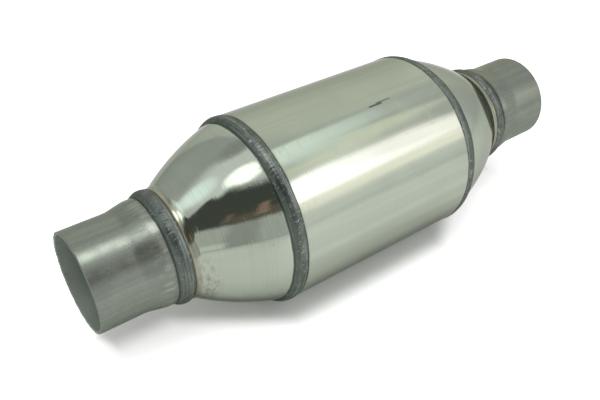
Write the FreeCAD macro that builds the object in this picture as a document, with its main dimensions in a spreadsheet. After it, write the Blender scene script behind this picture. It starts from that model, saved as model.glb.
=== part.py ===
import FreeCAD, Part
import Sketcher
import math
import os

from FreeCAD import Placement, Rotation, Vector

# Round two-ended catalytic converter, welded from stainless sheet and tube.
#
# Millimetres, +Z up. The converter lies along X, the gas runs towards +X, and the origin is
# the middle of the body shell on its axis. Everything is round about that axis, and the two
# ends are alike, so each end's pieces are made once for each side and the inlet's are turned
# half round about Z.

# Driving dimensions, in mm: name, value, what it is.
DIMENSIONS = (
    # body shell
    ("shell_radius", 50.8, "outside radius of the body shell"),
    ("shell_wall", 1.5, "sheet of the body shell"),
    ("shell_length", 115.0, "length of the body shell"),
    ("slip", 0.1, "radial clearance between pieces that slide into each other"),
    ("butt", 0.3, "end clearance between pieces stacked along the shell"),
    # cones
    ("cone_wall", 1.5, "sheet of the cones"),
    ("skirt_gap", 3.2, "from the face of the brick to the cone's skirt in the shell"),
    ("cone_length", 42.8, "from the end of the shell to where the dome meets the neck"),
    ("shoulder_drop", 0.75, "fall of the cone's shoulder, where the shell weld ends"),
    ("dome_radius", 135.0, "radius of the dome's arc, in section"),
    ("neck_length", 5.9, "length of the cone's straight neck"),
    ("neck_bend", 8.0, "outside radius of the bend from dome to neck"),
    # stub pipes
    ("pipe_radius", 27.5, "outside radius of the stub pipe at the cone"),
    ("pipe_wall", 1.5, "wall of the stub pipe"),
    ("pipe_insert", 8.2, "length of the pipe inside the cone's neck"),
    ("pipe_straight", 9.1, "length of full-size pipe outside the neck"),
    ("taper_length", 9.7, "length over which the pipe is drawn down"),
    ("taper_bend", 20.0, "radius of the bends at both ends of the taper"),
    ("spigot_radius", 25.5, "outside radius of the pipe's open end"),
    ("spigot_length", 24.0, "length of the open end"),
    # welds
    ("shell_weld_inner_leg", 3.1, "from the end of the shell to the weld's toe on the shell"),
    ("shell_weld_outer_leg", 3.7, "from the end of the shell to the weld's toe on the cone"),
    ("shell_weld_crown", 5.6, "radius of the shell weld's rounded face"),
    ("neck_weld_inner_leg", 2.9, "from the end of the neck to the weld's toe on the neck"),
    ("neck_weld_outer_leg", 5.0, "from the end of the neck to the weld's toe on the pipe"),
    ("neck_weld_crown", 6.6, "radius of the neck weld's rounded face"),
    # bricks, mats, seals and spacer
    ("mat_gap", 3.3, "gap between brick and shell, filled by the mat"),
    ("brick_length", 42.0, "length of each ceramic brick"),
    ("brick_skin", 1.2, "solid skin round each brick"),
    ("cell_pitch", 6.0, "spacing of the brick's cells"),
    ("cell_wall", 1.0, "wall between two cells"),
    ("seal_width", 4.0, "width of each wire-mesh seal ring"),
    ("spacer_width", 8.0, "width of the ring between the bricks"),
    ("spacer_sheet", 1.0, "sheet of the spacer ring"),
    ("spacer_depth", 6.2, "depth of the spacer's flanges"),
    # liner cones
    ("liner_wall", 0.8, "sheet of the liner cones"),
    ("liner_setback", 3.8, "from the liner's skirt to the end of the shell"),
    ("liner_lead", 3.0, "length of the liner's neck before the pipe"),
    ("liner_insert", 6.0, "length of the liner's neck inside the pipe"),
    ("liner_bend", 6.0, "outside radius of the bend from the liner's dome to its neck"),
)

HALF_TURN = Rotation(Vector(0, 0, 1), 180)
ALONG_X = Rotation(Vector(0, 1, 0), 90)


class Size:
    """A length that knows both its value and the sheet expression that gives it."""

    def __init__(self, value, text):
        self.value = value
        self.text = text

    def joined(self, sign, other, value):
        return Size(value, "(%s %s %s)" % (self.text, sign, words(other)))

    def __add__(self, other):
        return self.joined("+", other, self.value + number(other))

    def __sub__(self, other):
        return self.joined("-", other, self.value - number(other))

    def __mul__(self, other):
        return self.joined("*", other, self.value * number(other))

    def __truediv__(self, other):
        return self.joined("/", other, self.value / number(other))

    def __neg__(self):
        return Size(-self.value, "(0 - %s)" % self.text)


def number(size):
    return size.value if isinstance(size, Size) else float(size)


def words(size):
    return size.text if isinstance(size, Size) else repr(size)


doc = FreeCAD.newDocument("catalytic_converter")
sheet = doc.addObject("Spreadsheet::Sheet", "Sizes")


def fill_sheet():
    """Write the driving dimensions into the sheet and return them as Sizes by name."""
    sizes = {}
    for row, (name, value, meaning) in enumerate(DIMENSIONS, start=1):
        sheet.set("A%d" % row, meaning)
        sheet.set("B%d" % row, repr(value))
        sheet.setAlias("B%d" % row, name)
        sizes[name] = Size(value, "Sizes." + name)
    doc.recompute()
    return sizes


S = fill_sheet()

# Stations along the axis, for the outlet end, and radii that pieces share.
shell_end = S["shell_length"] / 2
shell_bore = S["shell_radius"] - S["shell_wall"]
in_shell = shell_bore - S["slip"]
shoulder_end = shell_end + S["shell_weld_outer_leg"]
shoulder_radius = in_shell - S["shoulder_drop"]
neck_radius = S["pipe_radius"] + S["slip"] + S["cone_wall"]
neck_start = shell_end + S["cone_length"]
neck_end = neck_start + S["neck_length"]
pipe_start = neck_end - S["pipe_insert"]
taper_start = neck_end + S["pipe_straight"]
taper_end = taper_start + S["taper_length"]
pipe_end = taper_end + S["spigot_length"]
brick_radius = shell_bore - S["mat_gap"]
brick_start = S["spacer_width"] / 2 + S["butt"]
brick_end = brick_start + S["brick_length"]
skirt_start = brick_end + S["skirt_gap"]
liner_radius = in_shell - S["cone_wall"] - S["slip"]
liner_start = brick_end + S["butt"]
liner_skirt_end = shell_end - S["liner_setback"]
liner_neck_start = pipe_start - S["liner_lead"]
liner_end = pipe_start + S["liner_insert"]
liner_neck_radius = S["pipe_radius"] - S["pipe_wall"] - S["slip"]

PARTS = []


def keep(piece, label):
    """Name a finished piece and put it on the list of those to write."""
    piece.Label = label
    PARTS.append(piece)
    return piece


def plane_of(body, role):
    """The body's own origin plane with the given role."""
    for feature in body.Origin.OriginFeatures:
        if feature.Role == role:
            return feature
    raise ValueError("no plane " + role)


def arc_middle(start, end, radius):
    """Middle of the arc of that radius from start to end that bulges to the left."""
    along = end - start
    half = along.Length / 2
    rise = radius - math.sqrt(radius * radius - half * half)
    left = Vector(-along.y, along.x, 0).normalize()
    return start + along / 2 + left * rise


def draw_section(body, name, corners, arcs):
    """A closed half section in the body's XZ plane: along X, and out from the axis.

    corners are (station, radius) pairs of Sizes, or of 0 for a radius on the axis. arcs
    gives, for the edge that leaves a corner, the radius of an arc bulging to its left.
    """
    sketch = body.newObject("Sketcher::SketchObject", name)
    sketch.AttachmentSupport = (plane_of(body, "XZ_Plane"), [""])
    sketch.MapMode = "FlatFace"
    points = [Vector(number(station), number(radius), 0) for station, radius in corners]
    ends = []
    for index, start in enumerate(points):
        end = points[(index + 1) % len(points)]
        if index in arcs:
            middle = arc_middle(start, end, number(arcs[index]))
            edge = sketch.addGeometry(Part.Arc(start, middle, end))
            # an arc that bulges to the left runs clockwise, and a sketch counts its ends
            # the other way round
            ends.append((edge, 2, 1))
            bind(sketch, ("Radius", edge), arcs[index])
        else:
            edge = sketch.addGeometry(Part.LineSegment(start, end))
            ends.append((edge, 1, 2))
    for index, (edge, first, last) in enumerate(ends):
        following, following_first, _ = ends[(index + 1) % len(ends)]
        join = Sketcher.Constraint("Coincident", edge, last, following, following_first)
        sketch.addConstraint(join)
        station, radius = corners[index]
        bind(sketch, ("DistanceX", -1, 1, edge, first), station)
        if number(radius) == 0:
            sketch.addConstraint(Sketcher.Constraint("PointOnObject", edge, first, -1))
        else:
            bind(sketch, ("DistanceY", -1, 1, edge, first), radius)
    return sketch


def bind(sketch, kind, size):
    """Add a dimension to a sketch and tie it to the sheet."""
    index = sketch.addConstraint(Sketcher.Constraint(*kind, number(size)))
    sketch.setExpression("Constraints[%d]" % index, words(size))


def turn(body, name, corners, arcs):
    """Turn a half section about the X axis."""
    sketch = draw_section(body, name + "_section", corners, arcs)
    turned = body.newObject("PartDesign::Revolution", name + "_turned")
    turned.Profile = sketch
    turned.ReferenceAxis = (sketch, ["H_Axis"])
    turned.Angle = 360
    sketch.Visibility = False
    doc.recompute()
    return turned


def ring_edge(feature, station, radius):
    """Name of the feature's round edge at a station and radius."""
    for index, edge in enumerate(feature.Shape.Edges, start=1):
        if not isinstance(edge.Curve, Part.Circle):
            continue
        off_station = abs(edge.Curve.Center.x - number(station))
        off_radius = abs(edge.Curve.Radius - number(radius))
        if off_station < 1e-4 and off_radius < 1e-4:
            return "Edge%d" % index
    raise ValueError("no round edge at %g, %g" % (number(station), number(radius)))


def soften(body, name, feature, station, radius, bend):
    """Round a turned feature's edge."""
    rounded = body.newObject("PartDesign::Fillet", name)
    rounded.Base = (feature, [ring_edge(feature, station, radius)])
    rounded.setExpression("Radius", words(bend))
    doc.recompute()
    return rounded


def hollow(body, name, feature, wall):
    """Leave only a wall of a turned feature, open at both of its flat ends."""
    flats = []
    for index, face in enumerate(feature.Shape.Faces, start=1):
        if isinstance(face.Surface, Part.Plane):
            flats.append("Face%d" % index)
    walled = body.newObject("PartDesign::Thickness", name)
    walled.Base = (feature, flats)
    walled.setExpression("Value", words(wall))
    walled.Reversed = True
    doc.recompute()
    if not walled.Shape.Volume < feature.Shape.Volume:
        raise ValueError(name + " grew outwards")
    return walled


def new_body(label, rotation):
    """An empty body for one turned piece."""
    body = doc.addObject("PartDesign::Body", label)
    body.Placement = Placement(Vector(0, 0, 0), rotation)
    return keep(body, label)


def make_cone(end, rotation):
    """Spun cone: a skirt inside the shell, a shoulder, a dome and a short neck."""
    body = new_body(end + "_cone", rotation)
    corners = [
        (skirt_start, in_shell),
        (shell_end, in_shell),
        (shoulder_end, shoulder_radius),
        (neck_start, neck_radius),
        (neck_end, neck_radius),
        (neck_end, 0),
        (skirt_start, 0),
    ]
    dome = {2: S["dome_radius"]}
    turned = turn(body, end + "_cone", corners, dome)
    bent = soften(body, end + "_cone_bend", turned, neck_start, neck_radius, S["neck_bend"])
    hollow(body, end + "_cone_wall", bent, S["cone_wall"])


def make_pipe(end, rotation):
    """Stub pipe, drawn down to a smaller open end."""
    body = new_body(end + "_pipe", rotation)
    corners = [
        (pipe_start, S["pipe_radius"]),
        (taper_start, S["pipe_radius"]),
        (taper_end, S["spigot_radius"]),
        (pipe_end, S["spigot_radius"]),
        (pipe_end, 0),
        (pipe_start, 0),
    ]
    turned = turn(body, end + "_pipe", corners, {})
    outer = soften(body, end + "_pipe_outer_bend", turned,
                   taper_start, S["pipe_radius"], S["taper_bend"])
    both = soften(body, end + "_pipe_inner_bend", outer,
                  taper_end, S["spigot_radius"], S["taper_bend"])
    hollow(body, end + "_pipe_wall", both, S["pipe_wall"])


def make_liner(end, rotation):
    """Thin inner cone: its skirt sits in the cone's skirt and its neck in the pipe."""
    body = new_body(end + "_liner_cone", rotation)
    corners = [
        (liner_start, liner_radius),
        (liner_skirt_end, liner_radius),
        (liner_neck_start, liner_neck_radius),
        (liner_end, liner_neck_radius),
        (liner_end, 0),
        (liner_start, 0),
    ]
    dome = {1: S["dome_radius"]}
    turned = turn(body, end + "_liner", corners, dome)
    bent = soften(body, end + "_liner_bend", turned,
                  liner_neck_start, liner_neck_radius, S["liner_bend"])
    hollow(body, end + "_liner_wall", bent, S["liner_wall"])


def make_shell_weld(end, rotation):
    """Weld bead over the end of the shell and the shoulder of the cone."""
    body = new_body(end + "_shell_weld", rotation)
    corners = [
        (shell_end - S["shell_weld_inner_leg"], S["shell_radius"]),
        (shoulder_end, shoulder_radius),
        (shell_end, in_shell),
        (shell_end, S["shell_radius"]),
    ]
    turn(body, end + "_shell_weld", corners, {0: S["shell_weld_crown"]})


def make_neck_weld(end, rotation):
    """Weld bead over the end of the cone's neck and the pipe in it."""
    body = new_body(end + "_neck_weld", rotation)
    corners = [
        (neck_end - S["neck_weld_inner_leg"], neck_radius),
        (neck_end + S["neck_weld_outer_leg"], S["pipe_radius"]),
        (neck_end, S["pipe_radius"]),
        (neck_end, neck_radius),
    ]
    turn(body, end + "_neck_weld", corners, {0: S["neck_weld_crown"]})


def cylinder(name, radius, start, length):
    """A solid cylinder along X."""
    solid = doc.addObject("Part::Cylinder", name)
    solid.Placement = Placement(Vector(number(start), 0, 0), ALONG_X)
    solid.setExpression("Radius", words(radius))
    solid.setExpression("Height", words(length))
    solid.setExpression("Placement.Base.x", words(start))
    return solid


def cut(name, base, tool):
    """One solid less another."""
    result = doc.addObject("Part::Cut", name)
    result.Base = base
    result.Tool = tool
    return result


def ring(name, inner, outer, start, length):
    """A plain ring or tube along X."""
    outside = cylinder(name + "_outside", outer, start, length)
    inside = cylinder(name + "_inside", inner, start, length)
    return cut(name, outside, inside)


def far_start(start, length):
    """Where a piece starts on the inlet side, when its twin starts at start."""
    return -(start + length)


def make_shell():
    shell = ring("body_shell", shell_bore, S["shell_radius"], -shell_end, S["shell_length"])
    keep(shell, "body_shell")


def cell_outlines(station):
    """Outlines of the square cells that fit whole inside a brick's skin."""
    pitch = number(S["cell_pitch"])
    half = (pitch - number(S["cell_wall"])) / 2
    reach = number(brick_radius - S["brick_skin"])
    steps = range(-int(reach // pitch), int(reach // pitch) + 1)
    outlines = []
    for y in (pitch * step for step in steps):
        for z in (pitch * step for step in steps):
            if math.hypot(abs(y) + half, abs(z) + half) > reach:
                continue
            turns = ((-half, -half), (half, -half), (half, half), (-half, half), (-half, -half))
            corners = [Vector(station, y + dy, z + dz) for dy, dz in turns]
            outlines.append(Part.makePolygon(corners))
    return outlines


def make_brick(label, start):
    """Ceramic honeycomb: square cells right through, inside a solid skin.

    The cells of a real brick are about 1.3 mm apart; these are wider, so there are fewer.
    """
    station = number(start)
    rim = Part.makeCircle(number(brick_radius), Vector(station, 0, 0), Vector(1, 0, 0))
    outlines = [Part.Wire(rim)] + cell_outlines(station)
    end_face = doc.addObject("Part::Feature", label + "_end")
    end_face.Shape = Part.makeFace(outlines, "Part::FaceMakerBullseye")
    brick = doc.addObject("Part::Extrusion", label)
    brick.Base = end_face
    brick.DirMode = "Custom"
    brick.Dir = Vector(1, 0, 0)
    brick.Solid = True
    brick.setExpression("LengthFwd", words(S["brick_length"]))
    keep(brick, label)


def make_wrap(brick, start_of):
    """Mat round one brick, and the mesh seal ring at each of its edges."""
    inner = brick_radius + S["slip"]
    last_seal = brick_end - S["seal_width"]
    mat_start = brick_start + S["seal_width"] + S["butt"]
    mat_length = last_seal - S["butt"] - mat_start
    pieces = (
        (brick + "_mat", mat_start, mat_length),
        (brick + "_inner_seal", brick_start, S["seal_width"]),
        (brick + "_outer_seal", last_seal, S["seal_width"]),
    )
    for label, start, length in pieces:
        keep(ring(label, inner, in_shell, start_of(start, length), length), label)


def make_spacer():
    """Channel ring, open towards the axis, that holds the bricks apart."""
    width = S["spacer_width"]
    channel = width - S["spacer_sheet"] * 2
    disc = cylinder("spacer_disc", in_shell, -width / 2, width)
    groove = cylinder("spacer_groove", in_shell - S["spacer_sheet"], -channel / 2, channel)
    bore = cylinder("spacer_bore", in_shell - S["spacer_depth"], -width / 2, width)
    grooved = cut("spacer_grooved", disc, groove)
    keep(cut("brick_spacer", grooved, bore), "brick_spacer")


def check_parts():
    """Stop if any object failed to build or any piece is not a sound solid."""
    for thing in doc.Objects:
        if "Invalid" in thing.State or "Error" in thing.State:
            raise ValueError("%s failed: %s" % (thing.Name, thing.State))
    for piece in PARTS:
        if piece.Shape.isNull() or not piece.Shape.isValid():
            raise ValueError(piece.Label + " has no valid shape")


make_shell()
for end, rotation in (("inlet", HALF_TURN), ("outlet", Rotation())):
    make_cone(end, rotation)
    make_pipe(end, rotation)
    make_liner(end, rotation)
    make_shell_weld(end, rotation)
    make_neck_weld(end, rotation)
make_brick("front_brick", far_start(brick_start, S["brick_length"]))
make_brick("rear_brick", brick_start)
make_wrap("front", far_start)
make_wrap("rear", lambda start, length: start)
make_spacer()

doc.recompute()
check_parts()
os.makedirs("parts", exist_ok=True)
for piece in PARTS:
    piece.Shape.exportStep("parts/%s.step" % piece.Label)
    size = piece.Shape.BoundBox
    print("%-20s %d solid, %10.1f mm3, X %.2f to %.2f" % (
        piece.Label, len(piece.Shape.Solids), piece.Shape.Volume, size.XMin, size.XMax))
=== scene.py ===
import math

import bmesh
import bpy
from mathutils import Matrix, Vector, noise
from mathutils.geometry import delaunay_2d_cdt


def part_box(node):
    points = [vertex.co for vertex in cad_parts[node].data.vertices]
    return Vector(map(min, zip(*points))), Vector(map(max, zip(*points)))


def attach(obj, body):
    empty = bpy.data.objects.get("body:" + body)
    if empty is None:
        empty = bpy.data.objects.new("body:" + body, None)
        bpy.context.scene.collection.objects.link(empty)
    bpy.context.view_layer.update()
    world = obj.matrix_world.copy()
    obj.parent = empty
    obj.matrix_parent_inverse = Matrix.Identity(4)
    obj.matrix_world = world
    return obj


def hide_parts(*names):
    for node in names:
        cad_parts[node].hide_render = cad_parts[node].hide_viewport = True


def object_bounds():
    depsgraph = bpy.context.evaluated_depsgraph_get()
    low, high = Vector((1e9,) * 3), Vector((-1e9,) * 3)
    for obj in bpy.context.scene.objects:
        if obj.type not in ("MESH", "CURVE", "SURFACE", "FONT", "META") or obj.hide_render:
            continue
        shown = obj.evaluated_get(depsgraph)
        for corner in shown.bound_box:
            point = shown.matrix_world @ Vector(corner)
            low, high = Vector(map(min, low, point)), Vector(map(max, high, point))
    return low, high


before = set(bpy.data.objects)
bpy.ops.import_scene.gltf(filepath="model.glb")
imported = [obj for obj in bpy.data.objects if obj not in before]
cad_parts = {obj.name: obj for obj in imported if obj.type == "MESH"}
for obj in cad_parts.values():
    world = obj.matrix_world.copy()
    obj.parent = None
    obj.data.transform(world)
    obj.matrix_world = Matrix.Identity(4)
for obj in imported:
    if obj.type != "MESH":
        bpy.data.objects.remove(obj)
cad_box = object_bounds()

# Sizes in metres that the CAD boxes don't give.
SHEET = 0.0015              # wall of the shell, the cones and the pipes
LINER_SHEET = 0.0008
DOME_RADIUS = 0.135
NECK_BEND = 0.008
LINER_BEND = 0.006
SHOULDER_DROP = 0.00075
SHOULDER_LENGTH = 0.0037
SPIGOT_RADIUS = 0.0255
SPIGOT_LENGTH = 0.024
TAPER_LENGTH = 0.0097
TAPER_BEND = 0.020
NECK_LENGTH = 0.0059        # straight neck of a cone
LINER_SKIRT_GAP = 0.0038    # from the end of a liner's skirt to the end of the shell
LINER_NECK_GAP = 0.003      # from a liner's neck to the start of the pipe
FIT_GAP = 0.0001            # between pieces that slide into each other
EDGE = 0.0003               # break of a cut sheet edge
THIN_EDGE = 0.0002          # break of a thin sheet's edge
BRICK_SKIN = 0.0012
CELL_PITCH = 0.0013
CELL_WALL = 0.00022
SPACER_SHEET = 0.001
SPACER_BORE = 0.043
SPACER_BEND = 0.0014
MAT_JOINT = 0.012           # gap in radians where a mat's ends meet
MAT_TONGUE = 0.30           # reach of a mat's tongue in radians
SHELL_WELD_CROWN = 0.0056   # radius of the bead's arc from toe to toe
NECK_WELD_CROWN = 0.0066
SHELL_WELD_PITCH = 0.0021   # from one ripple of a bead to the next
NECK_WELD_PITCH = 0.0019

OUTLET = 1
INLET = -1
END_NAMES = {OUTLET: "outlet", INLET: "inlet"}
BRICK_NAMES = {OUTLET: "rear", INLET: "front"}


def high_corner(node):
    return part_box(node)[1]


def low_corner(node):
    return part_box(node)[0]


def stations_of(node):
    """Nearest and farthest station of a node, whichever end of the part it is at."""
    return sorted((abs(low_corner(node).x), abs(high_corner(node).x)))


shell_end = high_corner("body_shell").x
shell_radius = high_corner("body_shell").z
skirt_start = low_corner("outlet_cone").x
neck_end = high_corner("outlet_cone").x
skirt_radius = high_corner("outlet_cone").z
pipe_start = low_corner("outlet_pipe").x
pipe_end = high_corner("outlet_pipe").x
pipe_radius = high_corner("outlet_pipe").z
shell_weld_start = low_corner("outlet_shell_weld").x
shell_weld_end = high_corner("outlet_shell_weld").x
neck_weld_start = low_corner("outlet_neck_weld").x
neck_weld_end = high_corner("outlet_neck_weld").x
liner_start = low_corner("outlet_liner_cone").x
liner_end = high_corner("outlet_liner_cone").x
liner_radius = high_corner("outlet_liner_cone").z
brick_start = low_corner("rear_brick").x
brick_end = high_corner("rear_brick").x
brick_radius = high_corner("rear_brick").z
floor_height = cad_box[0][2]

neck_radius = pipe_radius + SHEET + FIT_GAP
neck_start = neck_end - NECK_LENGTH
shoulder_end = shell_end + SHOULDER_LENGTH
taper_start = pipe_end - SPIGOT_LENGTH - TAPER_LENGTH
taper_end = pipe_end - SPIGOT_LENGTH


# ---------------------------------------------------------------- outlines

def arc(centre, radius, first, last, steps):
    """Points on an arc about (station, radius), from one angle to another."""
    points = []
    for step in range(steps + 1):
        angle = first + (last - first) * step / steps
        points.append((centre[0] + radius * math.cos(angle), centre[1] + radius * math.sin(angle)))
    return points


def circle_centre(start, end, radius):
    """Centre of the arc that runs from start to end and bulges away from the axis."""
    across = Vector((end[0] - start[0], end[1] - start[1]))
    middle = Vector(((start[0] + end[0]) / 2, (start[1] + end[1]) / 2))
    inward = Vector((across.y, -across.x)).normalized()
    depth = math.sqrt(radius ** 2 - across.length_squared / 4)
    return middle + inward * depth


def bulge(start, end, radius, steps):
    """Points on the arc that bulges away from the axis between start and end."""
    centre = circle_centre(start, end, radius)
    first = math.atan2(start[1] - centre.y, start[0] - centre.x)
    last = math.atan2(end[1] - centre.y, end[0] - centre.x)
    return arc(centre, radius, first, last, steps)


def rounded(corners, radius, steps=8):
    """A line through the corners, with each inner corner rounded to that radius."""
    points = [corners[0]]
    for before, corner, after in zip(corners, corners[1:], corners[2:]):
        back = (Vector(before) - Vector(corner)).normalized()
        ahead = (Vector(after) - Vector(corner)).normalized()
        half = back.angle(ahead) / 2
        reach = radius / math.tan(half)
        first = Vector(corner) + back * reach
        last = Vector(corner) + ahead * reach
        for step in range(steps + 1):
            t = step / steps
            point = first * (1 - t) ** 2 + Vector(corner) * 2 * t * (1 - t) + last * t ** 2
            points.append(tuple(point))
    points.append(corners[-1])
    return points


def dome_and_neck(start, dome_end, bend, neck_stop):
    """A dome that ends in a straight neck, with a hollow bend between them.

    dome_end is where the dome would meet the neck if there were no bend.
    """
    neck = dome_end[1]
    centre = circle_centre(start, dome_end, DOME_RADIUS)
    lift = neck + bend - centre.y
    bend_station = centre.x + math.sqrt((DOME_RADIUS + bend) ** 2 - lift ** 2)
    bend_centre = (bend_station, neck + bend)
    meet = math.atan2(lift, bend_station - centre.x)
    first = math.atan2(start[1] - centre.y, start[0] - centre.x)
    dome = arc(centre, DOME_RADIUS, first, meet, 30)
    hollow = arc(bend_centre, bend, meet - math.pi, -math.pi / 2, 14)
    return dome + hollow[1:] + [(neck_stop, neck)]


def inner_line(line, wall):
    """The line moved towards the axis by the wall."""
    moved = []
    for index, point in enumerate(line):
        before = Vector(line[max(index - 1, 0)])
        after = Vector(line[min(index + 1, len(line) - 1)])
        along = (after - before).normalized()
        moved.append((point[0] + along.y * wall, point[1] - along.x * wall))
    return moved


def subdivided(line, longest):
    """The line with points added, so that no step is longer than that."""
    points = [line[0]]
    for start, end in zip(line, line[1:]):
        length = math.dist(start, end)
        parts = max(1, math.ceil(length / longest))
        for part in range(1, parts + 1):
            t = part / parts
            points.append((start[0] + (end[0] - start[0]) * t, start[1] + (end[1] - start[1]) * t))
    return points


def toward(start, end, distance):
    """The point at a distance from start on the way to end."""
    step = (Vector(end) - Vector(start)).normalized() * distance
    return (start[0] + step.x, start[1] + step.y)


def trimmed(line, distance):
    """The line, cut short by a distance at both ends."""
    first = toward(line[0], line[1], distance)
    last = toward(line[-1], line[-2], distance)
    return [first] + line[1:-1] + [last]


def sheet_section(line, wall, edge=EDGE):
    """Closed outline of a sheet whose outer face is the line, with its cut edges broken."""
    inner = inner_line(line, wall)
    first_outer = toward(line[0], inner[0], edge)
    last_outer = toward(line[-1], inner[-1], edge)
    last_inner = toward(inner[-1], line[-1], edge)
    first_inner = toward(inner[0], line[0], edge)
    outer_face = [first_outer] + trimmed(line, edge) + [last_outer]
    inner_face = [last_inner] + trimmed(inner[::-1], edge) + [first_inner]
    return outer_face + inner_face


# ------------------------------------------------------------------ meshes

def add_piece(name, vertices, faces, material, sharp=math.radians(35)):
    mesh = bpy.data.meshes.new(name)
    mesh.from_pydata(vertices, [], faces)
    mesh.validate()
    mesh.shade_smooth()
    mesh.set_sharp_from_angle(angle=sharp)
    piece = bpy.data.objects.new(name, mesh)
    bpy.context.scene.collection.objects.link(piece)
    mesh.materials.append(material)
    return piece


def lathe(name, outline, material, side=OUTLET, around=360, shift=None):
    """Turn a closed outline of (station, radius) about the axis.

    shift(index, angle) gives how far a point of the outline moves along and out.
    """
    count = len(outline)
    vertices = []
    for turn in range(around):
        angle = 2 * math.pi * turn / around
        for index, (station, radius) in enumerate(outline):
            if shift:
                along, out = shift(index, angle)
                station += along
                radius += out
            vertices.append((side * station, radius * math.sin(angle), radius * math.cos(angle)))
    faces = []
    for turn in range(around):
        here = turn * count
        there = (turn + 1) % around * count
        for index in range(count):
            after = (index + 1) % count
            face = (here + index, here + after, there + after, there + index)
            faces.append(face if side == INLET else face[::-1])
    piece = add_piece(name, vertices, faces, material)
    lay_out(piece, outline, around)
    return piece


def lay_out(piece, outline, around):
    """A UV map: once round the axis along u, and once along the outline along v."""
    count = len(outline)
    layer = piece.data.uv_layers.new(name="wrap")
    for polygon in piece.data.polygons:
        turns = [piece.data.loops[loop].vertex_index // count for loop in polygon.loop_indices]
        steps = [piece.data.loops[loop].vertex_index % count for loop in polygon.loop_indices]
        crosses_turn = max(turns) - min(turns) > 1
        crosses_step = max(steps) - min(steps) > 1
        for loop, turn, step in zip(polygon.loop_indices, turns, steps):
            if crosses_turn and turn == 0:
                turn = around
            if crosses_step and step == 0:
                step = count
            layer.data[loop].uv = (turn / around, step / count)


def place(piece, slot, *nodes):
    """Make the piece stand for CAD nodes, which it hides; slot is not used."""
    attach(piece, "root")
    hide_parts(*nodes)
    return piece


# --------------------------------------------------------------- materials

class Surface:
    """A node material, built up from plain steps."""

    def __init__(self, name):
        self.material = bpy.data.materials.new(name)
        self.material.use_nodes = True
        self.tree = self.material.node_tree
        self.shader = self.tree.nodes["Principled BSDF"]
        coordinates = self.tree.nodes.new("ShaderNodeTexCoord")
        self.place = coordinates.outputs["Object"]
        self.wrap = coordinates.outputs["UV"]
        self.bumps = None

    def node(self, kind, values=(), **settings):
        new = self.tree.nodes.new(kind)
        for name, value in settings.items():
            setattr(new, name, value)
        for key, value in dict(values).items():
            self.feed(new.inputs[key], value)
        return new

    def feed(self, socket, value):
        if isinstance(value, bpy.types.NodeSocket):
            self.tree.links.new(value, socket)
        else:
            socket.default_value = value

    def math(self, operation, *values):
        new = self.node("ShaderNodeMath", operation=operation)
        for index, value in enumerate(values):
            self.feed(new.inputs[index], value)
        return new.outputs[0]

    def parts(self, vector):
        return self.node("ShaderNodeSeparateXYZ", {0: vector}).outputs

    def noise(self, scale, detail=4.0, rough=0.55, seed=0.0):
        """Noise with its own scale, in features a metre, along each axis."""
        values = {"Vector": self.place, "Scale": scale, "Location": (seed, seed, seed)}
        moved = self.node("ShaderNodeMapping", values)
        values = {"Vector": moved.outputs[0], "Scale": 1.0, "Detail": detail, "Roughness": rough}
        return self.node("ShaderNodeTexNoise", values).outputs["Fac"]

    def between(self, value, low, high, start=0.0, end=1.0):
        """start where the value is low, end where it is high, and smooth between."""
        values = {"Value": value, "From Min": low, "From Max": high, "To Min": start, "To Max": end}
        return self.node("ShaderNodeMapRange", values, interpolation_type="SMOOTHSTEP").outputs[0]

    def blend(self, amount, first, second):
        """The first colour where the amount is 0, and the second where it is 1."""
        new = self.node("ShaderNodeMix", data_type="RGBA")
        self.feed(new.inputs[0], amount)
        self.feed(new.inputs[6], first)
        self.feed(new.inputs[7], second)
        return new.outputs[2]

    def distance_from(self, station, wander=0.0):
        """Distance along the axis from a station at either end, with a little wander."""
        away = self.math("ABSOLUTE", self.parts(self.place)[0])
        offset = self.math("SUBTRACT", away, station)
        if wander:
            drift = self.math("SUBTRACT", self.noise((60, 90, 90), 2.0, seed=7.0), 0.5)
            offset = self.math("MULTIPLY_ADD", drift, wander, offset)
        return offset

    def band(self, station, width, wander=0.0):
        """1 at a station, falling to 0 a width away."""
        away = self.math("ABSOLUTE", self.distance_from(station, wander))
        return self.between(away, width * 0.35, width, 1.0, 0.0)

    def score(self, stations, turns):
        """A straight mark from one station to another, and between two turns in degrees.

        A turn is 0 on top and grows towards -Y.
        """
        x, y, z = self.parts(self.place)
        turn = self.math("DEGREES", self.math("ARCTAN2", self.math("MULTIPLY", y, -1.0), z))
        middle = self.math("SUBTRACT", turn, (turns[0] + turns[1]) / 2)
        half = (turns[1] - turns[0]) / 2
        across = self.between(self.math("ABSOLUTE", middle), half * 0.4, half, 1.0, 0.0)
        along = self.math("SUBTRACT", x, (stations[0] + stations[1]) / 2)
        reach = (stations[1] - stations[0]) / 2
        inside = self.between(self.math("ABSOLUTE", along), reach * 0.7, reach, 1.0, 0.0)
        return self.math("MULTIPLY", across, inside)

    def bump(self, height, distance):
        """Add relief, with its depth in metres, to what the surface has."""
        values = {"Height": height, "Distance": distance, "Strength": 1.0}
        if self.bumps:
            values["Normal"] = self.bumps
        self.bumps = self.node("ShaderNodeBump", values).outputs[0]

    def finish(self, colour, roughness, **plain):
        """Wire up the shader, whose other inputs take plain values."""
        self.feed(self.shader.inputs["Base Color"], colour)
        self.feed(self.shader.inputs["Roughness"], roughness)
        if self.bumps:
            self.feed(self.shader.inputs["Normal"], self.bumps)
        for name, value in plain.items():
            self.shader.inputs[name].default_value = value
        return self.material


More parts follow.
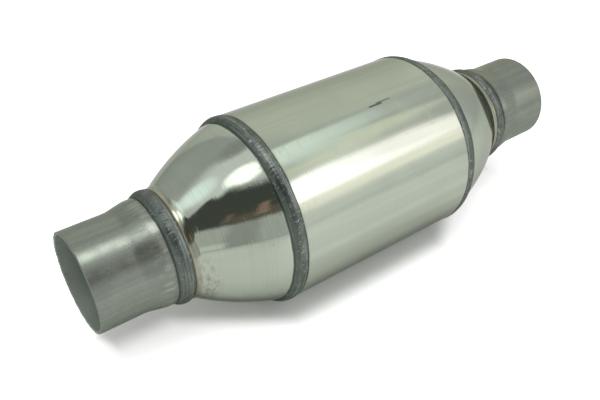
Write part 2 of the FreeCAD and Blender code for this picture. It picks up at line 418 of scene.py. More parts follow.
STEEL = (0.385, 0.430, 0.362, 1.0)
STEEL_PALE = (0.418, 0.466, 0.392, 1.0)
STEEL_WARM = (0.400, 0.395, 0.310, 1.0)
STEEL_DULL = (0.345, 0.384, 0.320, 1.0)
EDGE_SHEEN = (0.58, 0.58, 0.56, 1.0)
DULL_SHEEN = (0.45, 0.46, 0.42, 1.0)
TINT_GOLD = (0.215, 0.190, 0.125, 1.0)
TINT_BROWN = (0.110, 0.082, 0.055, 1.0)
# dark of pits, scuffs and streaks, and painted shade along the toes of the beads
DARK_MARK_AND_TOE_SHADE = (0.040, 0.050, 0.042, 1.0)
TUBE_DARK = (0.190, 0.213, 0.182, 1.0)
TUBE = (0.228, 0.252, 0.212, 1.0)
TUBE_PALE = (0.300, 0.332, 0.285, 1.0)
BEAD_DARK = (0.084, 0.103, 0.092, 1.0)
BEAD = (0.152, 0.176, 0.157, 1.0)
BEAD_BRIGHT = (0.320, 0.360, 0.330, 1.0)
# painted light for the inside of the pipes
BORE_PAINTED_LIGHT = (0.36, 0.41, 0.37, 1.0)
LINER_GREY = (0.30, 0.30, 0.27, 1.0)
LINER_PALE = (0.40, 0.40, 0.36, 1.0)
BUFF = (0.42, 0.34, 0.22, 1.0)
BUFF_PALE = (0.56, 0.48, 0.34, 1.0)
BUFF_DARK = (0.30, 0.24, 0.16, 1.0)
FIBRE = (0.44, 0.42, 0.37, 1.0)
FIBRE_PALE = (0.66, 0.64, 0.58, 1.0)
MICA = (0.26, 0.20, 0.11, 1.0)
WIRE_SHADE = (0.05, 0.05, 0.05, 1.0)
WIRE = (0.36, 0.36, 0.33, 1.0)
WIRE_WARM = (0.22, 0.20, 0.16, 1.0)
FLOOR_WHITE = (0.93, 0.93, 0.92, 1.0)


def polished_steel(name, toes, specks, rough, flats, pitted, streaks, marks=()):
    """Sheet polished round the axis.

    toes are (station, width, share, colour) of the marks beside the beads: tints that
    heat has left, and painted shade along the toes. specks are the same where heat has
    left only specks, low on the part. rough is the roughness, flats the depth in metres
    of the flats that rolling has left, and pitted that of the fine pits. streaks are the
    scale and the share of dull streaks. marks are scuffs, as (stations, turns, share).
    """
    steel = Surface(name)
    lines = steel.noise((2400, 16, 16), 2.0, 0.5)
    strokes = steel.noise((1400, 200, 200), 2.0, 0.5, seed=15.0)
    scores = steel.noise((1500, 60, 60), 2.0, 0.5, seed=3.0)
    deep = steel.between(scores, 0.62, 0.74)
    cloud = steel.noise((22, 22, 22), 3.0, seed=5.0)
    waves = steel.noise((3, 42, 42), 2.0, 0.5, seed=1.0)
    dents = steel.noise((45, 45, 45), 2.0, 0.5, seed=9.0)
    grit = steel.noise((650, 650, 650), 1.0, 0.5, seed=13.0)
    clusters = steel.between(steel.noise((38, 38, 38), 2.0, 0.5, seed=17.0), 0.44, 0.62)
    pits = steel.math("MULTIPLY", steel.between(grit, 0.70, 0.78), clusters)
    colour = steel.blend(steel.between(cloud, 0.35, 0.65), STEEL, STEEL_PALE)
    dull = steel.noise(streaks[0], 3.0, 0.6, seed=11.0)
    colour = steel.blend(steel.between(dull, 0.42, 0.66, 0.0, streaks[1]), colour, STEEL_DULL)
    colour = steel.blend(steel.math("MULTIPLY", deep, 0.3), colour, STEEL_WARM)
    colour = steel.blend(steel.math("MULTIPLY", pits, 0.16), colour, DARK_MARK_AND_TOE_SHADE)
    roughness = steel.between(cloud, 0.3, 0.7, rough * 0.8, rough * 1.25)
    roughness = steel.math("MULTIPLY_ADD", deep, 0.10, roughness)
    for station, width, share, tint in toes:
        mark = steel.math("MULTIPLY", steel.band(station, width, 0.0008), share)
        colour = steel.blend(mark, colour, tint)
        roughness = steel.math("MULTIPLY_ADD", mark, 0.2, roughness)
    spots = steel.between(steel.noise((700, 300, 300), 4.0, 0.6, seed=19.0), 0.44, 0.62)
    low_side = steel.between(steel.parts(steel.place)[2], -0.004, 0.014, 1.0, 0.1)
    spots = steel.math("MULTIPLY", spots, low_side)
    for station, width, share, tint in specks:
        reach = steel.math("MULTIPLY", steel.band(station, width, 0.002), share)
        colour = steel.blend(steel.math("MULTIPLY", reach, spots), colour, tint)
    for stations, turns, share in marks:
        mark = steel.math("MULTIPLY", steel.score(stations, turns), share)
        colour = steel.blend(mark, colour, DARK_MARK_AND_TOE_SHADE)
    steel.bump(waves, flats)
    steel.bump(dents, 0.00008)
    steel.bump(strokes, 0.000010)
    steel.bump(lines, 0.000008)
    steel.bump(pits, pitted)
    steel.bump(deep, 0.000008)
    return steel.finish(colour, roughness, Metallic=1.0, **{"Specular Tint": EDGE_SHEEN})


def raw_tube(name):
    """Drawn tube as it comes from the mill: dull, mottled, with faint lines along it."""
    tube = Surface(name)
    mottle = tube.noise((170, 170, 170), 6.0, 0.65)
    patches = tube.noise((45, 45, 45), 3.0, 0.5, seed=2.0)
    streaks = tube.noise((16, 420, 420), 4.0, 0.6, seed=4.0)
    grain = tube.noise((1500, 1500, 1500), 2.0, 0.5, seed=6.0)
    colour = tube.blend(tube.between(streaks, 0.32, 0.68), TUBE_DARK, TUBE)
    colour = tube.blend(tube.between(mottle, 0.4, 0.66, 0.0, 0.45), colour, TUBE_DARK)
    colour = tube.blend(tube.between(patches, 0.5, 0.72, 0.0, 0.25), colour, TUBE_PALE)
    brushed = tube.between(tube.noise((90, 620, 620), 2.0, 0.5, seed=21.0), 0.5, 0.62)
    at_inlet = tube.between(tube.parts(tube.place)[0], -0.01, 0.0, 0.8, 0.0)
    near_bead = tube.between(tube.distance_from(neck_weld_end, 0.004), 0.004, 0.011, 1.0, 0.0)
    brushed = tube.math("MULTIPLY", tube.math("MULTIPLY", brushed, near_bead), at_inlet)
    colour = tube.blend(brushed, colour, TUBE_PALE)
    heat = tube.between(tube.distance_from(neck_weld_end, 0.002), 0.0, 0.003, 1.0, 0.0)
    colour = tube.blend(tube.math("MULTIPLY", heat, 0.25), colour, TINT_BROWN)
    # painted shade along the toe of the neck weld
    toe = tube.band(neck_weld_end, 0.0007, 0.0008)
    colour = tube.blend(tube.math("MULTIPLY", toe, 0.85), colour, DARK_MARK_AND_TOE_SHADE)
    seam = tube.score((-pipe_end, -pipe_start), (24.0, 24.6))
    colour = tube.blend(tube.math("MULTIPLY", seam, 0.6), colour, TUBE_DARK)
    # the inside face is painted paler: painted light in the bore, which is also rougher
    inside = tube.between(tube.parts(tube.wrap)[1], 0.49, 0.51)
    colour = tube.blend(inside, colour, BORE_PAINTED_LIGHT)
    roughness = tube.between(mottle, 0.3, 0.7, 0.22, 0.31)
    roughness = tube.math("MULTIPLY_ADD", inside, 0.40, roughness)
    tube.bump(mottle, 0.00003)
    tube.bump(streaks, 0.000015)
    tube.bump(grain, 0.000002)
    return tube.finish(colour, roughness, Metallic=0.78, **{"Specular Tint": DULL_SHEEN})


def weld_metal(name):
    """Bead with a dark oxide skin, brushed along its length, and darkest at its toes, where shade
    is painted; pale glints are painted in too.
    """
    weld = Surface(name)
    across = weld.parts(weld.wrap)[1]
    mottle = weld.noise((300, 190, 190), 5.0, 0.6)
    brushed = weld.noise((1300, 28, 28), 4.0, 0.6, seed=2.0)
    patches = weld.noise((60, 60, 60), 3.0, 0.5, seed=8.0)
    grit = weld.noise((900, 900, 900), 1.0, 0.5, seed=4.0)
    colour = weld.blend(weld.between(mottle, 0.3, 0.7), BEAD_DARK, BEAD)
    colour = weld.blend(weld.between(brushed, 0.50, 0.70, 0.0, 0.65), colour, BEAD_BRIGHT)
    colour = weld.blend(weld.between(brushed, 0.30, 0.44, 0.55, 0.0), colour, DARK_MARK_AND_TOE_SHADE)
    colour = weld.blend(weld.between(patches, 0.5, 0.7, 0.0, 0.5), colour, BEAD_DARK)
    colour = weld.blend(weld.between(grit, 0.70, 0.76, 0.0, 0.9), colour, STEEL_PALE)
    cone_half = weld.between(across, 0.38, 0.62, 0.0, 0.45)
    colour = weld.blend(cone_half, colour, BEAD_DARK)
    # painted shade along both toes, deeper at the last
    near_first = weld.between(across, 0.0, 0.08, 0.75, 0.0)
    near_last = weld.between(across, 0.74, 0.83, 0.0, 0.85)
    toes = weld.math("MAXIMUM", near_first, near_last)
    colour = weld.blend(toes, colour, DARK_MARK_AND_TOE_SHADE)
    # pale spots painted in as glints, and a little smoother there
    glints = weld.between(weld.noise((330, 330, 330), 2.0, 0.5, seed=23.0), 0.64, 0.70)
    colour = weld.blend(weld.math("MULTIPLY", glints, 0.5), colour, BEAD_BRIGHT)
    roughness = weld.between(mottle, 0.3, 0.7, 0.26, 0.44)
    roughness = weld.math("MULTIPLY_ADD", glints, -0.14, roughness)
    weld.bump(mottle, 0.00010)
    weld.bump(brushed, 0.00004)
    weld.bump(grit, 0.00002)
    weld.bump(glints, 0.00006)
    return weld.finish(colour, roughness, Metallic=0.85, **{"Specular Tint": DULL_SHEEN})


def liner_steel(name):
    """Thin dull sheet, darkened by heat near the pipe."""
    liner = Surface(name)
    cloud = liner.noise((60, 60, 60), 5.0, 0.6)
    lines = liner.noise((1200, 9, 9), 4.0, 0.6, seed=2.0)
    colour = liner.blend(liner.between(cloud, 0.35, 0.7), LINER_GREY, LINER_PALE)
    heat = liner.between(liner.distance_from(liner_end), -0.02, 0.0, 0.0, 0.6)
    colour = liner.blend(heat, colour, TINT_GOLD)
    liner.bump(lines, 0.00003)
    return liner.finish(colour, liner.between(cloud, 0.3, 0.7, 0.28, 0.42), Metallic=1.0)


def ceramic(name):
    """Fired cordierite under a buff washcoat."""
    brick = Surface(name)
    cloud = brick.noise((90, 90, 90), 5.0, 0.6)
    grain = brick.noise((3500, 3500, 3500), 2.0, 0.5, seed=2.0)
    colour = brick.blend(brick.between(cloud, 0.35, 0.7), BUFF, BUFF_PALE)
    colour = brick.blend(brick.between(grain, 0.55, 0.75, 0.0, 0.4), colour, BUFF_DARK)
    brick.bump(grain, 0.00003)
    return brick.finish(colour, brick.between(cloud, 0.3, 0.7, 0.75, 0.92))


def fibre_mat(name):
    """Swelling mat: matted pale fibre with flakes of mica."""
    mat = Surface(name)
    fibres = mat.noise((420, 1300, 1300), 6.0, 0.7)
    flakes = mat.noise((1100, 1100, 1100), 2.0, 0.5, seed=4.0)
    cloud = mat.noise((70, 70, 70), 3.0, 0.5, seed=6.0)
    colour = mat.blend(mat.between(fibres, 0.3, 0.7), FIBRE, FIBRE_PALE)
    colour = mat.blend(mat.between(flakes, 0.62, 0.70, 0.0, 0.85), colour, MICA)
    mat.bump(cloud, 0.0006)
    mat.bump(fibres, 0.00025)
    return mat.finish(colour, mat.between(cloud, 0.3, 0.7, 0.85, 0.96))


def knitted_wire(name):
    """Rolled knitted wire, pressed into a ring."""
    wire = Surface(name)
    loops_round = 220
    rows_across = 9
    twist = wire.parts(wire.wrap)
    loops = wire.math("SINE", wire.math("MULTIPLY", twist[0], 2 * math.pi * loops_round))
    rows = wire.math("SINE", wire.math("MULTIPLY", twist[1], 2 * math.pi * rows_across))
    knit = wire.math("MULTIPLY", loops, rows)
    cloud = wire.noise((150, 150, 150), 4.0, 0.6)
    light = wire.between(knit, -0.4, 0.6)
    colour = wire.blend(light, WIRE_SHADE, WIRE)
    colour = wire.blend(wire.between(cloud, 0.4, 0.8, 0.0, 0.5), colour, WIRE_WARM)
    wire.bump(knit, 0.0004)
    return wire.finish(colour, wire.between(cloud, 0.3, 0.7, 0.35, 0.55), Metallic=1.0)


# -------------------------------------------------------------- the pieces

shell_steel = polished_steel(
    "shell_steel",
    toes=[
        (shell_weld_start, 0.0016, 0.12, TINT_GOLD),
        # painted shade along the shell-side toe of the shell weld
        (shell_weld_start, 0.0005, 0.8, DARK_MARK_AND_TOE_SHADE),
    ],
    specks=[],
    rough=0.13,
    flats=0.0004,
    pitted=0.00001,
    streaks=((4, 150, 150), 0.6),
    marks=[((0.007, 0.017), (20.3, 21.9), 0.8), ((0.012, 0.023), (19.5, 20.8), 0.6)],
)
cone_steel = polished_steel(
    "cone_steel",
    toes=[
        # painted shade along the cone-side toe of the shell weld
        (shell_weld_end, 0.0008, 0.85, DARK_MARK_AND_TOE_SHADE),
        (neck_weld_start - 0.0010, 0.0026, 0.50, TINT_GOLD),
        (neck_weld_start, 0.0008, 0.9, TINT_BROWN),
    ],
    specks=[
        (neck_weld_start - 0.0070, 0.0040, 0.40, TINT_BROWN),
        (neck_weld_start - 0.0020, 0.0050, 0.50, TINT_GOLD),
    ],
    rough=0.060,
    flats=0.0001,
    pitted=0.00005,
    streaks=((800, 8, 8), 0.3),
)
tube_steel = raw_tube("tube_steel")
bead_metal = weld_metal("bead_metal")
liner_metal = liner_steel("liner_metal")
spacer_metal = liner_steel("spacer_metal")
brick_ceramic = ceramic("brick_ceramic")
mat_fibre = fibre_mat("mat_fibre")
seal_wire = knitted_wire("seal_wire")


def make_shell():
    line = [(-shell_end, shell_radius), (shell_end, shell_radius)]
    outline = sheet_section(subdivided(line, 0.008), SHEET)
    piece = lathe("shell", outline, shell_steel)
    return place(piece, "polished_sheet", "body_shell")


def make_cone(side):
    """The cone: a skirt in the shell's end, a low shoulder, and a dome with a neck."""
    name = END_NAMES[side] + "_cone"
    shoulder = [(skirt_start, skirt_radius), (shell_end, skirt_radius)]
    dome_start = (shoulder_end, skirt_radius - SHOULDER_DROP)
    dome_end = (neck_start, neck_radius)
    dome = dome_and_neck(dome_start, dome_end, NECK_BEND, neck_end)
    line = subdivided(shoulder + dome, 0.003)
    piece = lathe(name + "_skin", sheet_section(line, SHEET), cone_steel, side)
    return place(piece, "polished_sheet", name)


def make_pipe(side):
    """The stub pipe: full size in the neck, drawn down to the spigot, with a sawn end."""
    name = END_NAMES[side] + "_pipe"
    corners = [
        (pipe_start, pipe_radius),
        (taper_start, pipe_radius),
        (taper_end, SPIGOT_RADIUS),
        (pipe_end, SPIGOT_RADIUS),
    ]
    line = subdivided(rounded(corners, TAPER_BEND), 0.003)
    outline = sheet_section(line, SHEET)
    rim_depth = 0.0006
    bore = SPIGOT_RADIUS - SHEET
    at_rim = [pipe_end - station < rim_depth for station, _ in outline]
    in_bore = [radius < bore + EDGE / 2 for _, radius in outline]
    waves = 0.00025
    teeth = 0.00012
    burr_height = 0.0012

    def sawn(index, angle):
        if not at_rim[index]:
            return 0.0, 0.0
        spot = Vector((math.cos(angle) * 6, math.sin(angle) * 6, side * 3.0))
        rough = abs(noise.noise(spot)) * waves + abs(noise.noise(spot * 5)) * teeth
        if not in_bore[index]:
            return -rough, 0.0
        return -rough, -max(0.0, noise.noise(spot * 4) - 0.25) * burr_height

    piece = lathe(name + "_tube", outline, tube_steel, side, shift=sawn)
    return place(piece, "raw_tube", name)


def make_bead(node, side, start, end, sheets, lap, crown, pitch, seed):
    """A weld bead: a crowned band of overlapping ripples between its two toes.

    sheets are the radii of the two sheets that it joins, and lap is where the first ends.
    """
    across = 16
    root_depth = 0.0008
    root_inset = (end - start) * 0.2
    deepest = 0.00030
    toe_wander = 0.00025
    face = bulge((start, sheets[0]), (end, sheets[1]), crown, across)
    root = [
        (end - root_inset, sheets[1] - root_depth),
        (start + root_inset, sheets[0] - root_depth),
    ]
    proud = [radius - (sheets[0] if station < lap else sheets[1]) for station, radius in face]
    ripples = round(2 * math.pi * sheets[0] / pitch)

    def ripple(index, angle):
        if index > across or proud[index] <= 0:
            return 0.0, 0.0
        t = index / across
        off_crown = 2 * t - 1
        spot = Vector((math.cos(angle), math.sin(angle), 0.0))
        drift = noise.noise(spot * 9 + Vector((0, 0, seed))) * 0.8
        bow = 0.9 * off_crown ** 2
        scallop = ((angle * ripples / (2 * math.pi) + drift + bow) % 1.0) ** 1.6
        lump = 0.5 + 0.5 * noise.noise(spot * 30 + Vector((0, 0, seed + 2 * t)))
        pit = max(0.0, noise.noise(spot * 55 + Vector((0, 0, seed + 4 * t))) - 0.42)
        room = min(proud[index] * 0.6, deepest)
        edge = noise.noise(spot * 14 + Vector((0, 0, seed + 5 + round(t))))
        along = toe_wander * edge * off_crown ** 4
        return along, -room * (0.28 * scallop + 0.6 * lump) - pit * 2.0 * room

    piece = lathe(node + "_bead", face + root, bead_metal, side, around=1440, shift=ripple)
    return place(piece, "weld_metal", node)


def make_liner(side):
    """The inner cone, whose neck slides into the pipe."""
    name = END_NAMES[side] + "_liner_cone"
    dome_start = (shell_end - LINER_SKIRT_GAP, liner_radius)
    dome_end = (pipe_start - LINER_NECK_GAP, pipe_radius - SHEET - FIT_GAP)
    dome = dome_and_neck(dome_start, dome_end, LINER_BEND, liner_end)
    line = subdivided([(liner_start, liner_radius)] + dome, 0.004)
    outline = sheet_section(line, LINER_SHEET, THIN_EDGE)
    piece = lathe(name + "_sheet", outline, liner_metal, side, around=180)
    return place(piece, "liner_sheet", name)


def cell_outline(column, row, bore):
    """The square cell at a column and row, cut off by the brick's round skin.

    It has no points where less than a fifth of the cell is left.
    """
    half = (CELL_PITCH - CELL_WALL) / 2
    middle = Vector((column * CELL_PITCH, row * CELL_PITCH))
    corners = [middle + Vector(step) * half for step in ((-1, -1), (1, -1), (1, 1), (-1, 1))]
    if all(corner.length < bore for corner in corners):
        return corners
    points = [corner for corner in corners if corner.length < bore]
    for start, end in zip(corners, corners[1:] + corners[:1]):
        along = end - start
        b = start.dot(along) / along.length_squared
        c = (start.length_squared - bore ** 2) / along.length_squared
        if b * b <= c:
            continue
        root = math.sqrt(b * b - c)
        points += [start + along * t for t in (-b - root, -b + root) if 0 < t < 1]
    if len(points) < 3:
        return []
    centre = sum(points, Vector((0, 0))) / len(points)
    points.sort(key=lambda point: math.atan2(point.y - centre.y, point.x - centre.x))
    area = sum(a.x * b.y - a.y * b.x for a, b in zip(points, points[1:] + points[:1])) / 2
    return points if area > 0.2 * CELL_PITCH ** 2 else []


def honeycomb():
    """Corners, cell loops and end-face triangles of the brick, seen along the axis."""
    bore = brick_radius - BRICK_SKIN
    reach = int(bore / CELL_PITCH) + 1
    around = 180
    rim = []
    for step in range(around):
        angle = 2 * math.pi * step / around
        rim.append(Vector((math.cos(angle), math.sin(angle))) * brick_radius)
    loops = [rim]
    for column in range(-reach, reach + 1):
        for row in range(-reach, reach + 1):
            outline = cell_outline(column, row, bore)
            if outline:
                loops.append(outline)
    corners = []
    numbered = []
    for loop in loops:
        numbered.append(list(range(len(corners), len(corners) + len(loop))))
        corners += loop
    holes_left_open = 2
    same_point = 1e-7
    result = delaunay_2d_cdt(corners, [], numbered, holes_left_open, same_point, True)
    points, _, triangles, sources = result[:4]
    renumbered = {}
    for new, olds in enumerate(sources):
        for old in olds:
            renumbered[old] = new
    walls = [[renumbered[corner] for corner in loop] for loop in numbered]
    return points, walls, triangles


def make_brick(side, comb):
    """The ceramic brick: the honeycomb drawn out along the axis."""
    name = BRICK_NAMES[side] + "_brick"
    points, walls, triangles = comb
    count = len(points)
    vertices = []
    for station in (brick_start, brick_end):
        vertices += [(side * station, point.x, point.y) for point in points]
    faces = [tuple(triangle) for triangle in triangles]
    faces += [tuple(corner + count for corner in reversed(triangle)) for triangle in triangles]
    for loop in walls:
        for first, last in zip(loop, loop[1:] + loop[:1]):
            faces.append((first, first + count, last + count, last))
    piece = add_piece(name + "_comb", vertices, faces, brick_ceramic, math.radians(30))
    return place(piece, "honeycomb", name)


def make_mat(side):
    """The mat: a sheet wrapped once round the brick, closed by a tongue and a notch."""
    name = BRICK_NAMES[side] + "_mat"
    inner = brick_radius + FIT_GAP
    outer = high_corner(name).z
    start, end = stations_of(name)
    width = end - start
    across = 24
    around = 300
    dent_depth = 0.00018
    rings = []
    for part in range(across + 1):
        station = start + width * part / across
        in_tongue = width / 3 < station - start < width * 2 / 3
        rings.append((station, MAT_TONGUE if in_tongue else 0.0))
    vertices = []
    for station, lead in rings:
        angles = [lead + (2 * math.pi - MAT_JOINT) * step / around for step in range(around + 1)]
        for angle in angles:
            spot = Vector((math.cos(angle) * 16, math.sin(angle) * 16, station * 300))
            radius = outer - abs(noise.noise(spot)) * dent_depth
            vertices.append((side * station, radius * math.sin(angle), radius * math.cos(angle)))
        for angle in reversed(angles):
            vertices.append((side * station, inner * math.sin(angle), inner * math.cos(angle)))
    count = 2 * (around + 1)
    faces = []
    for ring in range(len(rings) - 1):
        for step in range(count):
            after = (step + 1) % count
            here = ring * count
            there = here + count
            faces.append((here + step, here + after, there + after, there + step))
    for ring in (0, len(rings) - 1):
        for step in range(around):
            base = ring * count
            back = base + count - 1 - step
            faces.append((base + step, base + step + 1, back - 1, back))
    piece = add_piece(name + "_wrap", vertices, faces, mat_fibre)
    return place(piece, "support_mat", name)


def make_seal(side, where):
    """A mesh ring: a pressed square section with soft corners, and loops on its outside."""
    name = "%s_%s_seal" % (BRICK_NAMES[side], where)
    start, end = stations_of(name)
    inner = brick_radius + FIT_GAP
    outer = high_corner(name).z
    steps = 28
    softness = 0.45
    outline = []
    for step in range(steps):
        angle = 2 * math.pi * step / steps
        across = math.copysign(abs(math.cos(angle)) ** softness, math.cos(angle))
        out = math.copysign(abs(math.sin(angle)) ** softness, math.sin(angle))
        outline.append((
            (start + end) / 2 - across * (end - start) / 2,
            (inner + outer) / 2 + out * (outer - inner) / 2,
        ))

    loops_round = 110
    loop_depth = 0.00012

    def knit(index, angle):
        wave = math.sin(angle * loops_round + (index % 2) * math.pi)
        return 0.0, -loop_depth * (1 + wave) if 2 < index < 12 else 0.0

    piece = lathe(name + "_mesh", outline, seal_wire, side, around=660, shift=knit)
    return place(piece, "wire_mesh", name)


def make_spacer():
    """Channel ring between the bricks, open towards the axis."""
    low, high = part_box("brick_spacer")
    corners = [
        (low.x, SPACER_BORE),
        (low.x, high.z),
        (high.x, high.z),
        (high.x, SPACER_BORE),
    ]
    outline = sheet_section(rounded(corners, SPACER_BEND), SPACER_SHEET, THIN_EDGE)
    piece = lathe("spacer_channel", outline, spacer_metal, around=240)
    return place(piece, "liner_sheet", "brick_spacer")


make_shell()
make_spacer()
comb = honeycomb()
for side in (OUTLET, INLET):
    end_name = END_NAMES[side]
    make_cone(side)
    make_pipe(side)
    make_bead(
        end_name + "_shell_weld",
        side,
        shell_weld_start,
        shell_weld_end,
        sheets=(shell_radius, skirt_radius - SHOULDER_DROP),
        lap=shell_end,
        crown=SHELL_WELD_CROWN,
        pitch=SHELL_WELD_PITCH,
        seed=3.0 + side,
    )
    make_bead(
        end_name + "_neck_weld",
        side,
        neck_weld_start,
        neck_weld_end,
        sheets=(neck_radius, pipe_radius),
        lap=neck_end,
        crown=NECK_WELD_CROWN,
        pitch=NECK_WELD_PITCH,
        seed=9.0 + side,
    )
    make_liner(side)
    make_brick(side, comb)
    make_mat(side)
    make_seal(side, "inner")
    make_seal(side, "outer")


# ------------------------------------------------------- floor and lighting

ROOM_LIGHT = 0.66           # strength of the white room as a light
FLOOR_GLOW = 0.22           # of the open floor, for camera, glossy and transmission rays
CAMERA_GLOW = 0.45          # of the floor clear of the object, for camera rays alone
FLOOR_REACH = 2.5
STUDIO_RADIUS = 2.4


def direction(azimuth, elevation):
    """Unit vector: azimuth 0 is towards -Y and 90 towards +X, in degrees."""
    azimuth = math.radians(azimuth)
    elevation = math.radians(elevation)
    flat = math.cos(elevation)
    return Vector((math.sin(azimuth) * flat, -math.cos(azimuth) * flat, math.sin(elevation)))


def seen_share(tree):
    """1 for camera, glossy and transmission rays, and 0 for the rest."""
    path = tree.nodes.new("ShaderNodeLightPath")
    share = path.outputs["Is Camera Ray"]
    for name in ("Is Glossy Ray", "Is Transmission Ray"):
        join = tree.nodes.new("ShaderNodeMath")
        join.operation = "MAXIMUM"
        tree.links.new(share, join.inputs[0])
        tree.links.new(path.outputs[name], join.inputs[1])
        share = join.outputs[0]
    return share


def scaled(tree, share, amount, base):
    """A share times an amount, on top of a base."""
    step = tree.nodes.new("ShaderNodeMath")
    step.operation = "MULTIPLY_ADD"
    tree.links.new(share, step.inputs[0])
    step.inputs[1].default_value = amount
    step.inputs[2].default_value = base
    return step.outputs[0]


def make_world():
    """A white room: plain white to look at, and a little dimmer as a light."""
    world = bpy.data.worlds.new("white_room")
    bpy.context.scene.world = world
    world.use_nodes = True
    tree = world.node_tree
    world.cycles.sampling_method = "NONE"
    background = tree.nodes["Background"]
    background.inputs["Color"].default_value = (1.0, 1.0, 1.0, 1.0)
    strength = scaled(tree, seen_share(tree), 1.0 - ROOM_LIGHT, ROOM_LIGHT)
    tree.links.new(strength, background.inputs["Strength"])


def make_floor():
    """White floor: it takes the object's shadow, with a painted shadow added near the object and
    painted shade towards the inlet end in reflections, and is white elsewhere.
    """
    corners = [(-1, -1), (1, -1), (1, 1), (-1, 1)]
    places = [(x * FLOOR_REACH, y * FLOOR_REACH, floor_height) for x, y in corners]
    mesh = bpy.data.meshes.new("floor")
    mesh.from_pydata(places, [], [(0, 1, 2, 3)])
    floor = bpy.data.objects.new("floor", mesh)
    bpy.context.scene.collection.objects.link(floor)
    white = Surface("floor_white")
    tree = white.tree
    white.finish(FLOOR_WHITE, 0.9, **{"Specular IOR Level": 0.1})
    # The glow stops short of the object, which paints a shadow under it, darker and tighter
    # than the lamps give. away is the distance from the axis, moved a little to the shadow's
    # side, and made to grow along the cones and past the ends, where the object narrows and stops.
    shadow_shift = 0.012
    cone_reach = 0.055
    x, y, _ = white.parts(white.place)
    station = white.math("ABSOLUTE", x)
    past_shell = white.math("MAXIMUM", white.math("SUBTRACT", station, shell_end - 0.005), 0.0)
    past_end = white.math("MAXIMUM", white.math("SUBTRACT", station, pipe_end - 0.012), 0.0)
    away = white.math("ABSOLUTE", white.math("SUBTRACT", y, shadow_shift))
    away = white.math("MULTIPLY_ADD", white.math("MINIMUM", past_shell, cone_reach), 0.75, away)
    away = white.math("MULTIPLY_ADD", past_end, 2.0, away)
    clear_of_painted_shadow = white.between(away, 0.044, 0.060, 0.10, 1.0)
    # the glow that reflections see is left out farther from the object and towards the inlet end:
    # painted shade on the floor that the metal mirrors
    outer_floor = white.between(away, 0.055, 0.120)
    toward_outlet = white.between(x, -0.20, 0.05)
    outside_painted_shade = white.math("MULTIPLY", outer_floor, toward_outlet)
    camera_only = tree.nodes.new("ShaderNodeLightPath").outputs["Is Camera Ray"]
    near_glow = white.math("MULTIPLY", white.math("MULTIPLY", camera_only, CAMERA_GLOW), clear_of_painted_shadow)
    seen = scaled(tree, seen_share(tree), FLOOR_GLOW, 0.0)
    far_glow = white.math("MULTIPLY", seen, outside_painted_shade)
    glow = white.node("ShaderNodeEmission", {"Strength": white.math("ADD", near_glow, far_glow)})
    both = white.node("ShaderNodeAddShader", {0: white.shader.outputs[0], 1: glow.outputs[0]})
    tree.links.new(both.outputs[0], tree.nodes["Material Output"].inputs["Surface"])
    mesh.materials.append(white.material)


def make_softbox(name, azimuth, elevation, distance, size, power):
    """A soft lamp that lights the object and the floor."""
    lamp = bpy.data.lights.new(name, "AREA")
    lamp.shape = "RECTANGLE"
    lamp.size = size[0]
    lamp.size_y = size[1]
    lamp.energy = power
    holder = bpy.data.objects.new(name, lamp)
    bpy.context.scene.collection.objects.link(holder)
    holder.location = direction(azimuth, elevation) * distance
    holder.rotation_euler = direction(azimuth, elevation).to_track_quat("Z", "Y").to_euler()
    holder.visible_glossy = False
    holder.visible_camera = False


def level(amount, red=1.0, blue=1.0):
    """A tone of the room, with its red and blue as shares of its green."""
    return (amount * red, amount, amount * blue, 1.0)


class Studio(Surface):
    """What the polished metal reflects: a plain room, painted by direction."""

    def __init__(self, name):
        super().__init__(name)
        new = self.node("ShaderNodeVectorMath", {0: self.place}, operation="NORMALIZE")
        self.unit = new.outputs[0]
        x, y, z = self.parts(self.unit)
        turn = self.math("ARCTAN2", x, self.math("MULTIPLY", y, -1.0))
        rise = self.math("ARCSINE", z)
        wobble = self.math("SUBTRACT", self.noise((7, 7, 7), 5.0, 0.6), 0.5)
        sway = 5.0
        self.azimuth = self.math("MULTIPLY_ADD", wobble, sway, self.math("DEGREES", turn))
        self.elevation = self.math("MULTIPLY_ADD", wobble, sway, self.math("DEGREES", rise))
        self.tone = level(0.82)

    def within(self, value, low, high, soft):
        """1 between low and high, with soft edges, and 0 outside."""
        above = self.between(value, low - soft, low + soft)
        below = self.between(value, high - soft, high + soft, 1.0, 0.0)
        return self.math("MULTIPLY", above, below)

    def patch(self, azimuths, elevations, soft, tone):
        """Paint a patch between two azimuths and two elevations, in degrees."""
        wide = self.within(self.azimuth, azimuths[0], azimuths[1], soft)
        high = self.within(self.elevation, elevations[0], elevations[1], soft)
        self.tone = self.blend(self.math("MULTIPLY", wide, high), self.tone, tone)

    def spot(self, azimuth, elevation, radius, soft, tone):
        """Paint a round spot, with its radius and its soft edge in degrees."""
        values = {0: self.unit, 1: direction(azimuth, elevation)}
        near = self.node("ShaderNodeVectorMath", values, operation="DOT_PRODUCT").outputs["Value"]
        edge = math.cos(math.radians(radius + soft))
        core = math.cos(math.radians(max(radius - soft, 0.0)))
        self.tone = self.blend(self.between(near, edge, core), self.tone, tone)


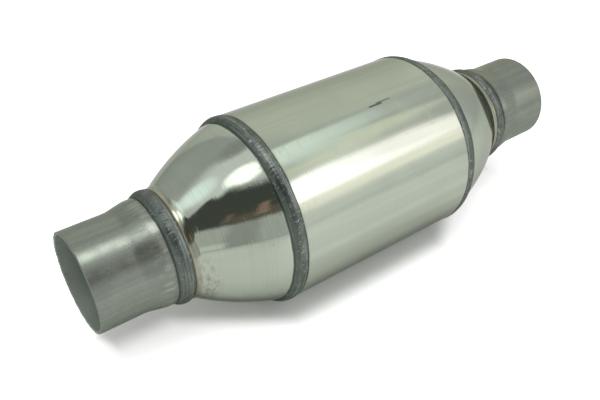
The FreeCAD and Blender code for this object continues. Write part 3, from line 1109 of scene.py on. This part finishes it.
def make_studio():
    """A dome that only reflections see: walls, a dark corner, a window and a ceiling light."""
    mesh = bpy.data.meshes.new("studio")
    shape = bmesh.new()
    bmesh.ops.create_uvsphere(shape, u_segments=48, v_segments=24, radius=STUDIO_RADIUS)
    shape.to_mesh(mesh)
    shape.free()
    dome = bpy.data.objects.new("studio", mesh)
    bpy.context.scene.collection.objects.link(dome)
    studio = Studio("studio")
    # walls
    studio.patch((-200, -122), (-20, 66), 14, level(0.62))
    studio.patch((104, 176), (-6, 58), 7, level(0.97, 1.0, 0.92))
    studio.patch((-62, -38), (-20, 31), 4, level(0.72))
    studio.patch((-38, -20), (-20, 25), 3, level(0.53))
    studio.patch((-20, 8), (-20, 27), 4, level(0.70))
    studio.patch((-66, -36), (-6, 5), 2, level(0.98))
    studio.patch((8, 80), (-20, 20), 7, level(1.05))
    # ceiling light, with its glow
    studio.spot(-96, 72, 22, 9, level(1.15))
    studio.spot(-168, 63, 7, 6, level(0.50))
    studio.spot(-105, 54, 8, 6, level(1.70, 0.92, 1.02))
    studio.spot(-64, 73, 9, 3, level(2.80))
    studio.spot(62, 79, 11, 2.5, level(4.20))
    # dark corner, with two warm things in it
    studio.patch((-66, 4), (52, 64), 4, level(0.42))
    studio.patch((-77, -38), (29, 55), 2.2, level(0.105, 0.95, 0.92))
    studio.patch((-62, 4), (25.5, 60), 2.2, level(0.105, 0.95, 0.92))
    studio.patch((0, 20), (25, 53), 4, level(0.14))
    studio.patch((-38, 2), (25, 34), 3, level(0.17, 1.15, 0.8))
    studio.patch((-24, -17), (29, 41), 1.2, level(0.31, 1.5, 0.82))
    studio.patch((-44, -39), (29, 37), 1.5, level(0.21, 1.4, 0.8))
    # window and what stands round it
    studio.patch((54, 100), (54, 60), 2, level(1.28, 0.92, 0.98))
    studio.patch((58, 100), (59, 65), 2, level(1.62, 0.95, 0.98))
    studio.patch((42, 74), (45, 54), 3, level(1.28, 1.02, 0.88))
    studio.patch((24, 54), (14, 45), 5, level(1.42, 1.04, 0.98))
    studio.patch((24, 54), (12, 24), 4, level(1.82, 1.09, 0.93))
    studio.patch((22, 46), (22.5, 44.5), 2.5, level(2.9, 1.07, 1.08))
    studio.patch((40, 55), (23, 40), 4, level(2.08, 1.10, 1.04))
    glow = studio.node("ShaderNodeEmission", {"Color": studio.tone, "Strength": 1.0})
    output = studio.tree.nodes["Material Output"]
    studio.tree.links.new(glow.outputs[0], output.inputs["Surface"])
    studio.material.cycles.emission_sampling = "NONE"
    mesh.materials.append(studio.material)
    dome.visible_camera = False
    dome.visible_diffuse = False
    dome.visible_shadow = False


make_world()
make_floor()
make_softbox("softbox", -48, 70, 1.4, (0.8, 0.6), 10.0)
make_studio()

# ------------------------------------------------------------------ camera

camera_data = bpy.data.cameras.new("camera")
camera_data.lens = 42.49
camera_data.sensor_width = 36.0
camera = bpy.data.objects.new("camera", camera_data)
bpy.context.scene.collection.objects.link(camera)
camera.location = (-0.20740, -0.25008, 0.22413)
aim = Vector((-0.02209, 0.0, -0.00877))
camera.rotation_euler = (aim - camera.location).to_track_quat("-Z", "Y").to_euler()
bpy.context.scene.camera = camera
bpy.context.scene.view_settings.view_transform = "Standard"
